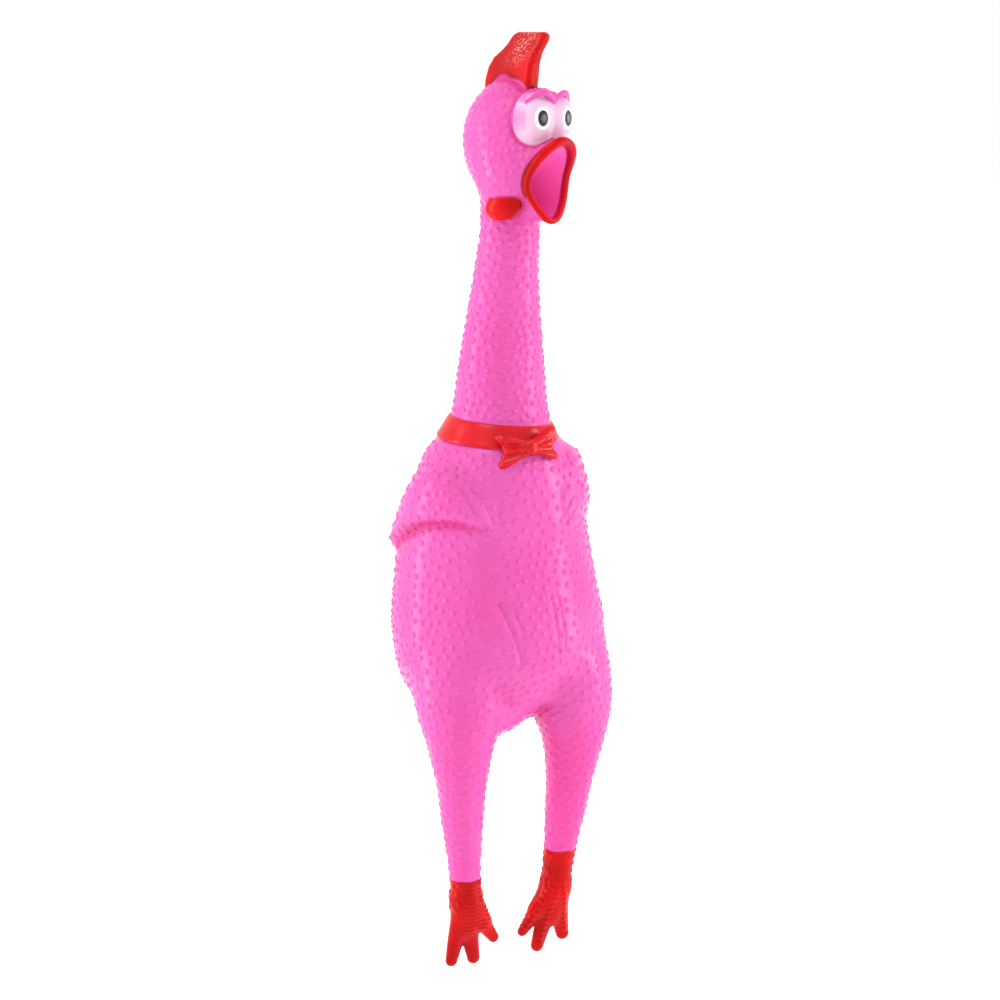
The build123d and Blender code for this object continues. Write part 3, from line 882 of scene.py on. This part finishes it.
def pupil_paint():
    """Black paint, with a painted reflection that makes it greyer in the middle."""
    made = Nodes("pupil_paint")
    # Painted reflection: greyer and speckled in the pupil's middle
    colour = made.mix(made.remap(made.attribute("centre"), 0.35, 0.75), BLACK, PUPIL_REFLECTION_DARK)
    speck = made.remap(made.noise(2600.0, 2.0), 0.4, 0.7)
    painted_reflection = made.math(made.remap(made.attribute("centre"), 0.4, 0.8), speck)
    made.drive("Base Color", made.mix(painted_reflection, colour, PUPIL_REFLECTION))
    made.drive("Roughness", made.remap(made.noise(300.0, 2.0), 0.3, 0.7, 0.25, 0.4))
    return made.material


def plain_part(name, first, second, scale, rough, metallic=0.0):
    """A moulded or metal part with faint mottling."""
    made = Nodes(name)
    colour = made.mix(made.remap(made.noise(scale, 4.0), 0.3, 0.7), first, second)
    made.drive("Base Color", colour)
    fine = made.noise(scale * 3, 3.0)
    made.drive("Roughness", made.remap(fine, 0.3, 0.7, rough - 0.07, rough + 0.07))
    made.bump(made.noise(scale * 8, 3.0), 0.1, 0.0004)
    made.set(Metallic=metallic)
    return made.material


# -------- making the skin

GRID_STEP = 1.0
SHADE_ROUNDS = 24  # how far round a fold its painted shade reaches
WING_SHADE = 0.09  # painted shade under a wing's edge
RING_SHADE_STRENGTH = (0.52, 0.16)  # painted shade ringing each bump: on the body, on the head and legs
NOT_PAINTED = -9.0
LIP_PAINT = (0.4, 1.5, 0.35)  # outside the mouth by this much, the paint reaches further
WATTLE_PAINT, COMB_PAINT, CROWN_PAINT = 0.45, 1.3, 1.4
WHITE_OUT, WHITE_BACK = (14.6, 10.6), (-15, -19)  # the white ends out and back between these
HALO = 0.7
GRAIN_Z = (214, 221)  # the comb's pale grain and painted glints start over these heights
GRAIN_FROM, GRAIN_SLOPE, GRAIN_HALF = (-2, 212), 0.75, 5.5  # its line's start, slope, half width
GRID_LOW, GRID_HIGH = (-50, -50, -171), (50, 50, 233)

points, faces = surface_nets(skin, GRID_LOW, GRID_HIGH, GRID_STEP)
points = relax(skin, points, faces, 3)
centres = bump_centres(points)
# How far each point sits below its smoothed neighbours, for painted shade in folds
evened = points
for _ in range(SHADE_ROUNDS):
    evened = neighbours_mean(evened, faces)
sunk = ((evened - points) * unit(slopes(skin, points)[1])).sum(axis=1)
points, faces = divide(np.column_stack([points, sunk]), faces)
points, sunk = settle(skin, points[:, :3]), points[:, 3]

owner, away = nearest_of(centres, points)
tip = np.clip(1 - (away / BUMP_RADIUS) ** 2, 0, 1) ** 1.5
gradient = unit(slopes(skin, points)[1])
on_head = smooth_step(*HEAD_BUMPS, points[:, 2])
on_legs = smooth_step(*LEG_BUMPS, points[:, 2])
bump_share = 1 - LOWER_ON_HEAD * on_head - LOWER_ON_LEGS * on_legs
rise = BUMP_HEIGHT * tip * bump_share - folded(points)
low_part = points[:, 2] < max(PAINT_Z.values())
rise[low_part] += scutes(points[low_part])
points = points + gradient * rise[:, None]
normals = mesh_normals(points, faces)

high = points[:, 2] > HEAD_ABOVE
paint = {name: np.zeros(len(points)) for name in ("red", "white", "lining", "grain")}
# The bumps' tips get a painted highlight, and their feet a ring of painted shade
paint["tip"] = tip
ring = smooth_step(0, 0.3, tip) * smooth_step(0.75, 0.35, tip)
paint["ring"] = mix(*RING_SHADE_STRENGTH, np.maximum(on_head, on_legs)) * ring
# Painted shade in folds and under the wings' edges
paint["sunk"] = sunk + WING_SHADE * wing_relief(points)[1]
wobble = 0.2 * np.sin(points[:, 0] * 0.9) + 0.15 * np.sin(points[:, 1] * 1.3 + 1)
painted = paint_line(points[:, 0]) - points[:, 2] + wobble
paint["red"] = np.maximum(NOT_PAINTED, painted)
h = to_head(points[high])
lip_paint = np.where(mouth_outline(h, LIP) > LIP_PAINT[0], *LIP_PAINT[1:])
painted = np.maximum(WATTLE_PAINT - wattle(h), lip_paint - lip(h))
crown = egg(h, *SKULL) - CROWN_PAINT - 0.5 * np.sin(h[:, 1] * 0.5 + 1)
painted = np.maximum(painted, np.minimum(COMB_PAINT - comb(h), crown * 0.5))
paint["red"][high] = np.maximum(paint["red"][high], painted)
white_area = np.minimum(eyes(h), egg(h, *FOREHEAD) + 0.2)
mask = smooth_step(1.5, 0.1, white_area) * smooth_step(0.1, 0.7, brow(h))
mask *= smooth_step(*WHITE_OUT, np.abs(h[:, 0])) * smooth_step(*WHITE_BACK, h[:, 1])
mask *= smooth_step(1.0, -1.0, h[:, 2] - brow_height(np.abs(h[:, 0])))
pupil_x, pupil_z, pupil_wide, pupil_tall = PUPIL
halo_x, halo_z = (np.abs(h[:, 0]) - pupil_x) / (pupil_wide + HALO), h[:, 2] - pupil_z
halo = np.hypot(halo_x, halo_z / (pupil_tall + HALO))
paint["white"][high] = mask * (1 + np.where(h[:, 1] < -22, smooth_step(1.2, 1.0, halo), 0))
room = mouth_room(h)
in_mouth = (room > -0.35) & (room < 0.6) & (mouth_depth(h) > 0.6) & (h[:, 1] < MOUTH_END)
in_mouth &= within_lip(h)
deep = smooth_step(*THROAT_PAINT[0], mouth_depth(h)) * smooth_step(*THROAT_PAINT[1], h[:, 2])
paint["lining"][high] = np.where(in_mouth, 0.25 + 0.75 * deep, 0)
# Along the comb's ridge: grain for the bump, and pale specks that are partly painted glints
streak = h[:, 1] + GRAIN_SLOPE * (h[:, 2] - GRAIN_FROM[1]) - GRAIN_FROM[0]
paint["grain"][high] = smooth_step(*GRAIN_Z, h[:, 2]) * np.exp(-((streak / GRAIN_HALF) ** 2))
leg_tint = mix(0.35, 1.0, smooth_step(-5, 5, points[:, 0]))
paint["low_pink"] = smooth_step(-45, -75, points[:, 2]) * leg_tint

# -------- cutting it into its pieces

middle = points[faces].mean(axis=1)
head_middle = to_head(middle)
height = middle[:, 2]
upper = height > 152.5  # the head's pieces are above here
pieces = {}
taken = np.zeros(len(faces), bool)


def cut(name, where):
    """Gives a piece the faces that are there and in no piece yet."""
    pieces[name] = faces[where & ~taken]
    taken[where] = True


def near(field, reach):
    """Which faces are within a distance of a shape of the head."""
    found = np.zeros(len(middle), bool)
    found[upper] = field(head_middle[upper]) < reach
    return found


def off_hip(side):
    """How far a face is past the slanting line where a thigh leaves the body."""
    return (middle[:, 0] * side - HIP_PIVOT[0] - (middle[:, 2] - HIP_PIVOT[2])) * math.sqrt(0.5)


# Heights
KNEE_TOP, SHIN_TOP, THIGH_TOP, TORSO_TOP = -84.0, -108.0, -14, 66
NECK_TOPS = {"neck_root": 78, "neck_lower": 105, "neck_middle": 126.5, "neck_top": 141.5}
HEAD_BASE, COMB_FOOT, COMB_BEND = 156, 200, 212.4
# How far from its shape each piece reaches
HIP_CUT, TAIL_CUT, WING_CUT, COMB_CUT, LIP_CUT = -13.0, 1.6, 0.8, 1.2, 0.45
LINING_CUT, EYE_CUT, BROW_CUT = 0.8, 0.3, 0.7
TAIL_FRONT, EYES_BACK = 34, -12
for name, side in SIDES:
    own = middle[:, 0] * side > 0
    cut(f"foot_{name}", own & (height < PAINT_Z[side]))
    cut(f"shin_{name}", own & (height < SHIN_TOP))
    cut(f"knee_{name}", own & (height < KNEE_TOP))
    cut(f"thigh_{name}", own & (off_hip(side) > HIP_CUT) & (height < THIGH_TOP))
cut("tail", (egg(middle, *TAIL) < TAIL_CUT) & (middle[:, 1] > TAIL_FRONT))
on_wing = wing_relief(middle)[0] > WING_CUT
for name, side in SIDES:
    cut(f"wing_{name}", on_wing & (middle[:, 0] * side > 0))
cut("torso_front", (height < TORSO_TOP) & (middle[:, 1] < 0))
cut("torso_back", height < TORSO_TOP)
for name, top in NECK_TOPS.items():
    cut(name, height < top)
comb_foot = (height > COMB_FOOT) & (paint["red"][faces].mean(axis=1) > 0)
cut("comb", near(comb, COMB_CUT) & ((height > COMB_BEND) | comb_foot))
head_side = head_middle[:, 0]
for name, side in SIDES:
    cut(f"wattle_{name}", near(wattle, WATTLE_PAINT) & (head_side * side > 0))
cut("beak_rim", near(lip, LIP_CUT))
inside = near(mouth_room, LINING_CUT) & ~near(mouth_room, -LINING_CUT)
inside &= mouth_depth(head_middle) > 0.5
cut("mouth_lining", inside & within_lip(head_middle) & (head_middle[:, 1] < MOUTH_END))
on_eyes = near(eyes, EYE_CUT) & ~near(brow, BROW_CUT) & (head_middle[:, 1] < EYES_BACK)
for name, side in SIDES:
    cut(f"eye_{name}", on_eyes & (head_side * side > 0))
cut("neck_head", height < HEAD_BASE)
cut("head_skin", ~taken)

SLOTS = {name: "red_paint" for name in ("foot", "comb", "wattle", "beak_rim")}
SLOTS.update({"mouth_lining": "mouth_pink", "eye": "eye_white"})
materials = {slot: vinyl(f"vinyl_{slot}") for slot in ("pink_skin", "mouth_pink", "eye_white")}
materials["red_paint"] = vinyl("vinyl_red_paint", 0.12, 0.03)
REPLACED = {name: (f"{name}_skin",) for name in NECK_TOPS}
REPLACED |= {"torso_front": ("chest_panel",), "torso_back": ("torso_skin",), "neck_head": ()}
REPLACED |= {"head_skin": ("head_skin", "comb_root"), "mouth_lining": ("mouth_funnel",)}
for name, _ in SIDES:
    REPLACED |= {f"knee_{name}": (), f"shin_{name}": (f"shank_{name}",)}


def along_z(low, high):
    return (0, 0, low * MM), (0, 0, high * MM)


def hip_zone(side):
    """From the body to the thigh, across the slanting line through the hip's pivot."""
    pivot = np.array(HIP_PIVOT) * (side, 1, 1)
    slope = np.array([side, 0, -1]) * math.sqrt(0.5)
    return [tuple((pivot + slope * reach) * MM) for reach in (-12.0, 11.0)]


PRESS_ZONE = ((0, -32.8 * MM, 0), (0, -38.2 * MM, 0))
ANKLE_ZONE = {1: along_z(-117, -127), -1: along_z(-122, -132)}
BLENDS = {
    "torso_front": ("torso", "chest", *PRESS_ZONE),
    "neck_lower": ("torso", "neck_lower", *along_z(79, 101)),
    "neck_middle": ("neck_lower", "neck_middle", *along_z(110.5, 125.5)),
    "neck_top": ("neck_middle", "neck_top", *along_z(127.5, 140.5)),
    "neck_head": ("neck_top", "head", *along_z(142.5, 154)),
    "comb": ("head", "comb", *along_z(212.5, 218.5)),
}
for name, side in SIDES:
    BLENDS[f"thigh_{name}"] = ("torso", f"thigh_{name}", *hip_zone(side))
    BLENDS[f"knee_{name}"] = (f"thigh_{name}", f"shank_{name}", *along_z(-88, -102))
    BLENDS[f"shin_{name}"] = (f"shank_{name}", f"foot_{name}", *ANKLE_ZONE[side])
    BLENDS[f"foot_{name}"] = (f"shank_{name}", f"foot_{name}", *ANKLE_ZONE[side])
ON_HEAD = ["head_skin", "beak_rim", "mouth_lining", "wattle_left", "wattle_right"]
ON_HEAD += ["eye_left", "eye_right"]

for name, own_faces in pieces.items():
    kept, renumbered = np.unique(own_faces, return_inverse=True)
    slot_name = next((slot for start, slot in SLOTS.items() if name.startswith(start)), "pink_skin")
    renumbered = renumbered.reshape(own_faces.shape)
    look = materials[slot_name]
    made = add_object(f"{name}_vinyl", points[kept], renumbered, look, normals[kept])
    for key, values in paint.items():
        add_values(made, key, values[kept])
    nodes = REPLACED.get(name, (name,))
    if nodes:
        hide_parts(*nodes)
    if name in BLENDS:
        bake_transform(made)
    else:
        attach(made, "head" if name in ON_HEAD else "torso")

# -------- collar, bow and pupils

COLLAR_PROFILE = [  # radius, height
    (20.4, 69.6), (21.1, 70.5), (22.0, 70.4), (22.8, 69.2),
    (24.3, 66.2), (26.0, 62.9), (26.7, 61.7), (26.6, 61.0),
    (26.0, 60.7), (24.6, 61.4), (21.6, 65.6),
]
COLLAR_TILT = math.radians(2.5)  # the front hangs lower
COLLAR_ROLL = math.radians(4)  # the bird's left side hangs lower
COLLAR_PIVOT_Z = 66.0
BOW_AT = (0, -29.3, 61.8)
BOW_ROLL = math.radians(6.5)  # the loop on the bird's left is the higher
BOW_REACH = 12.6
BOW_HALF = (3.1, 7.6)  # half height of a loop at the knot and at its end
BOW_THICK, BOW_PLEAT, BOW_LOBE, BOW_WRAP = 1.55, 0.7, 1.5, 3.0
BOW_DROOP, BOW_PLEATS, BOW_START = 0.3, 1.5, 1.2
KNOT = ((0, -0.7, -0.1), (3.1, 2.4, 3.4))
KNOT_BACK = ((0, 0.6, 0), (3.0, 2.0, 3.2))
GATHER_HEIGHT, GATHER_PITCH = 0.14, 2.6
BOW_GRID = 0.4
KNOT_BOX = ((-5, -5, -6), (5, 4, 6))
LOOP_BOX = ((0, -5, -11), (16, 9, 11))
red_material = red_gloss("collar_paint")


def smooth_ring(profile, rounds=2):
    """A closed outline with its corners cut."""
    line = np.array(profile)
    for _ in range(rounds):
        ahead = np.roll(line, -1, axis=0)
        line = np.stack([mix(line, ahead, 0.25), mix(line, ahead, 0.75)], axis=1).reshape(-1, 2)
    return line


def grid_faces(rows, columns, closed=True):
    """Faces between the rows of a grid of points whose columns close into a ring."""
    i, j = np.meshgrid(np.arange(rows if closed else rows - 1), np.arange(columns), indexing="ij")
    up, ahead = (i + 1) % rows * columns, (j + 1) % columns
    i = i * columns
    return np.stack([i + j, i + ahead, up + ahead, up + j], axis=2).reshape(-1, 4)


def lathe(profile, around=160):
    """A closed outline turned about Z."""
    turn = np.linspace(0, 2 * math.pi, around, endpoint=False)
    radius, height = profile.T
    x, y = radius * np.sin(turn)[:, None], -radius * np.cos(turn)[:, None]
    ring = np.stack([x, y, np.broadcast_to(height, x.shape)], axis=2)
    return ring.reshape(-1, 3), grid_faces(around, len(profile))


band, band_faces = lathe(smooth_ring(COLLAR_PROFILE))
y, z = turned(band[:, 1], band[:, 2] - COLLAR_PIVOT_Z, COLLAR_TILT)
x, z = turned(band[:, 0], z, -COLLAR_ROLL)
band = np.stack([x, y, z + COLLAR_PIVOT_Z], axis=1)
collar = add_object("collar_band", band, band_faces, red_material)
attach(collar, "torso")
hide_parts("collar")


def bow_loop(p):
    """One loop of the bow, pleated, wider outwards, two-lobed at its end, bent round the collar."""
    x = p[:, 0]
    t = np.clip(x / BOW_REACH, 0, 1.2)
    half = mix(*BOW_HALF, smooth_step(0, 1.0, t))
    v = (p[:, 2] + BOW_DROOP * t * t) / half
    y = p[:, 1] - BOW_WRAP * t * t
    lobe = BOW_LOBE * np.cos(math.pi * np.clip(v, -1, 1)) * smooth_step(0.4, 1, t)
    pleat = BOW_PLEAT * np.cos(2 * math.pi * BOW_PLEATS * v) * smooth_step(0.1, 0.6, t)
    made = meet((np.abs(v) - 1) * half * 0.85, x - (BOW_REACH - lobe), 2.2)
    made = meet(made, np.abs(y) - BOW_THICK - pleat, 1.6)
    return meet(made, BOW_START - x, 0.8)


def bow_knot(p):
    """A rounded lump with shallow gathers."""
    gather = GATHER_HEIGHT * np.cos(2 * math.pi * p[:, 0] / GATHER_PITCH)
    return join(egg(p, *KNOT) - gather, egg(p, *KNOT_BACK), 0.8)


for name, field, box, side in (
    ("bow_knot", bow_knot, KNOT_BOX, 1),
    ("bow_loop_left", bow_loop, LOOP_BOX, 1),
    ("bow_loop_right", bow_loop, LOOP_BOX, -1),
):
    bow_points, bow_faces = surface_nets(field, *box, BOW_GRID)
    bow_points = relax(field, bow_points, bow_faces, 2)
    bow_faces = bow_faces[:, ::side]
    x, z = turned(bow_points[:, 0] * side, bow_points[:, 2], BOW_ROLL)
    bow_points = np.stack([x, bow_points[:, 1], z], axis=1)
    piece = add_object(f"{name}_vinyl", bow_points + BOW_AT, bow_faces, red_material)
    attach(piece, "torso")
    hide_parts(name)


def pupil(side, rings=8, around=40, rise=0.34, sunk=0.1):
    """A thin domed disc on an eye."""
    (eye_x, eye_y, eye_z), (radius_x, radius_y, radius_z) = EYE
    rows, centre_values = [], []
    turn = np.linspace(0, 2 * math.pi, around, endpoint=False)
    for n in range(rings + 1):
        share = n / rings
        x = pupil_x + pupil_wide * share * np.sin(turn)
        z = pupil_z + pupil_tall * share * np.cos(turn)
        inside = 1 - ((x - eye_x) / radius_x) ** 2 - ((z - eye_z) / radius_z) ** 2
        y = eye_y - radius_y * np.sqrt(np.maximum(inside, 0)) - rise * (1 - share**6) + sunk
        rows.append(np.stack([x * side, y, z], axis=1))
        centre_values.append(np.full(around, 1 - share))
    rows.append(rows[-1] + (0, 1.0, 0))
    centre_values.append(np.zeros(around))
    quads = grid_faces(len(rows), around, closed=False)[:, ::-side]
    return from_head(np.concatenate(rows)), quads, np.concatenate(centre_values)


pupil_material = pupil_paint()
for name, side in SIDES:
    pupil_points, pupil_faces, centre_values = pupil(side)
    made = add_object(f"pupil_{name}_disc", pupil_points, pupil_faces, pupil_material)
    add_values(made, "centre", centre_values)
    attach(made, "head")
    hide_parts(f"pupil_{name}")

# -------- the squeaker inside the head

SQUEAKER = {
    "squeaker_tube": plain_part("squeaker_shell", (0.80, 0.80, 0.76), (0.86, 0.86, 0.83), 120.0, 0.38),
    "tone_board": plain_part("tone_board_plastic", (0.74, 0.75, 0.72), (0.82, 0.82, 0.8), 150.0, 0.42),
    "reed_wedge": plain_part("wedge_plastic", (0.70, 0.71, 0.69), (0.79, 0.79, 0.77), 170.0, 0.42),
    "squeaker_cap": plain_part("cap_plastic", (0.80, 0.80, 0.76), (0.87, 0.87, 0.84), 130.0, 0.36),
}
brass = plain_part("reed_metal", (0.62, 0.42, 0.16), (0.72, 0.52, 0.24), 300.0, 0.28, 1.0)
for node, material in SQUEAKER.items():
    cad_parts[node].material_slots[0].material = material
for node in ("reed", "reed_tail"):
    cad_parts[node].material_slots[0].material = brass

# -------- floor, light and camera

FLOOR_Z, FLOOR_HALF = -0.215, 9.0
floor_mesh = bpy.data.meshes.new("floor")
signs = ((-1, -1), (1, -1), (1, 1), (-1, 1))
corners = [(x * FLOOR_HALF, y * FLOOR_HALF, FLOOR_Z) for x, y in signs]
floor_mesh.from_pydata(corners, [], [(0, 1, 2, 3)])
floor_look = Nodes("floor_paper")
floor_colour = floor_look.mix(floor_look.noise(3.0), (0.93, 0.93, 0.93), (0.95, 0.95, 0.95))
floor_look.drive("Base Color", floor_colour)
floor_look.set(Roughness=0.9, Emission_Strength=0.28, Emission_Color=(1, 1, 1, 1))
floor_mesh.materials.append(floor_look.material)
floor = bpy.data.objects.new("floor", floor_mesh)
bpy.context.scene.collection.objects.link(floor)

world = bpy.data.worlds.new("studio")
bpy.context.scene.world = world
world.use_nodes = True
background = world.node_tree.nodes["Background"]
background.inputs["Color"].default_value = (1, 1, 1, 1)
background.inputs["Strength"].default_value = 1.0

CAMERA_AT = Vector((-0.3954, -0.8479, 0.2000))
LOOK_AT = Vector((0, 0, 0.035))
LENS = 80.2


def place(made, location, away):
    """Puts a light or camera somewhere, facing against a direction."""
    made.location = location
    made.rotation_mode = "QUATERNION"
    made.rotation_quaternion = away.to_track_quat("Z", "Y")
    bpy.context.scene.collection.objects.link(made)


def softbox(name, azimuth, elevation, distance, wide, tall, power):
    a, e = math.radians(azimuth), math.radians(elevation)
    away = Vector((math.sin(a) * math.cos(e), -math.cos(a) * math.cos(e), math.sin(e)))
    light = bpy.data.lights.new(name, "AREA")
    light.shape = "RECTANGLE"
    light.size, light.size_y = wide, tall
    light.energy = power
    place(bpy.data.objects.new(name, light), LOOK_AT + away * distance, away)


softbox("softbox_left", -112, 8, 0.8, 0.12, 0.8, 3.6)
softbox("softbox_right", 62, 8, 0.8, 0.12, 0.8, 3.6)
softbox("softbox_top", -60, 62, 1.0, 0.4, 0.4, 2.5)

camera_data = bpy.data.cameras.new("camera")
camera_data.lens = LENS
camera_data.sensor_width = 36.0
camera_data.clip_start, camera_data.clip_end = 0.05, 40.0
camera = bpy.data.objects.new("camera", camera_data)
place(camera, CAMERA_AT, CAMERA_AT - LOOK_AT)
bpy.context.scene.camera = camera
bpy.context.scene.view_settings.view_transform = "Standard"
